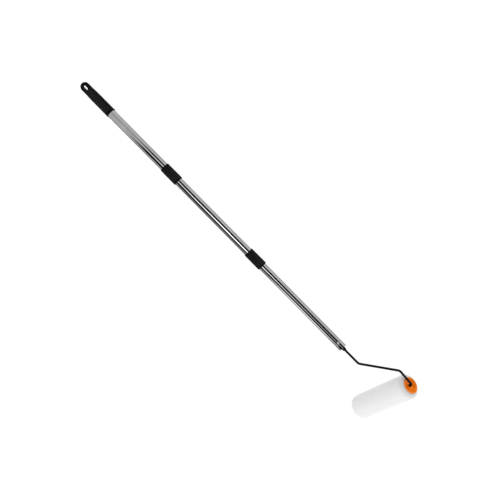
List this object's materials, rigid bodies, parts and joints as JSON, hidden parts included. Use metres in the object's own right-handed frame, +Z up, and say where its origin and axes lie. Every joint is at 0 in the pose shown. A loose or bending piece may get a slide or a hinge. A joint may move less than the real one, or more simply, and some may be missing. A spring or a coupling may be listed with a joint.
{
  "type": "paint roller",
  "caption": "Telescopic paint roller: a nap sleeve spins on a bent wire frame, on a pole of nested steel tubes held by twist collars, with a hang-hole hand grip.",
  "frame": {"origin": "on the surface the tool lies on, under the middle of its outline", "axes": "+Y along the pole from the roller towards the grip, +X towards the side of the roller that the wire enters, +Z up"},
  "size_m": [0.2435, 1.2865, 0.0723],
  "materials": {
    "black_plastic": "moulded satin black",
    "bright_steel": "bright drawn steel",
    "black_wire": "black coated wire",
    "orange_plastic": "glossy orange moulding",
    "white_nap": "short white pile",
    "pale_plastic": "natural moulded plastic",
    "zinc_steel": "zinc plated"
  },
  "bodies": {
    "handle": {"hand_grip": "black_plastic", "outer_tube": "bright_steel", "upper_collet": "pale_plastic"},
    "upper_lock": {"upper_collar": "black_plastic"},
    "middle_section": {"middle_tube": "bright_steel", "middle_glide": "pale_plastic", "lower_collet": "pale_plastic"},
    "lower_lock": {"lower_collar": "black_plastic"},
    "lower_section": {"lower_tube": "bright_steel", "lower_glide": "pale_plastic", "tip_plug": "black_plastic", "tip_rivet": "zinc_steel", "wire_frame": "black_wire", "near_washer": "orange_plastic", "far_washer": "orange_plastic", "axle_stop_ring": "black_wire", "push_nut": "zinc_steel"},
    "roller": {"roller_sleeve": "white_nap", "sleeve_core": "pale_plastic", "near_end_cap": "orange_plastic", "far_end_cap": "orange_plastic", "near_bush": "orange_plastic", "far_bush": "orange_plastic"}
  },
  "joints": [
    {"name": "upper_twist", "type": "hinge", "parent": "handle", "child": "upper_lock", "pos_m": [0.0178, 0.28453, 0.01992], "axis": [0, 0.9998, -0.0182], "range_deg": [0, 90]},
    {"name": "upper_slide", "type": "slide", "parent": "handle", "child": "middle_section", "axis": [0, 0.9998, -0.0182], "range_m": [0, 0.24]},
    {"name": "lower_twist", "type": "hinge", "parent": "middle_section", "child": "lower_lock", "pos_m": [0.0178, -0.05541, 0.02611], "axis": [0, 0.9998, -0.0182], "range_deg": [0, 90]},
    {"name": "lower_slide", "type": "slide", "parent": "middle_section", "child": "lower_section", "axis": [0, 0.9998, -0.0182], "range_m": [0, 0.295]},
    {"name": "roller_spin", "type": "hinge", "parent": "lower_section", "child": "roller", "pos_m": [-0.0062, -0.60712, 0.03615], "axis": [1, 0, 0], "continuous": true}
  ]
}
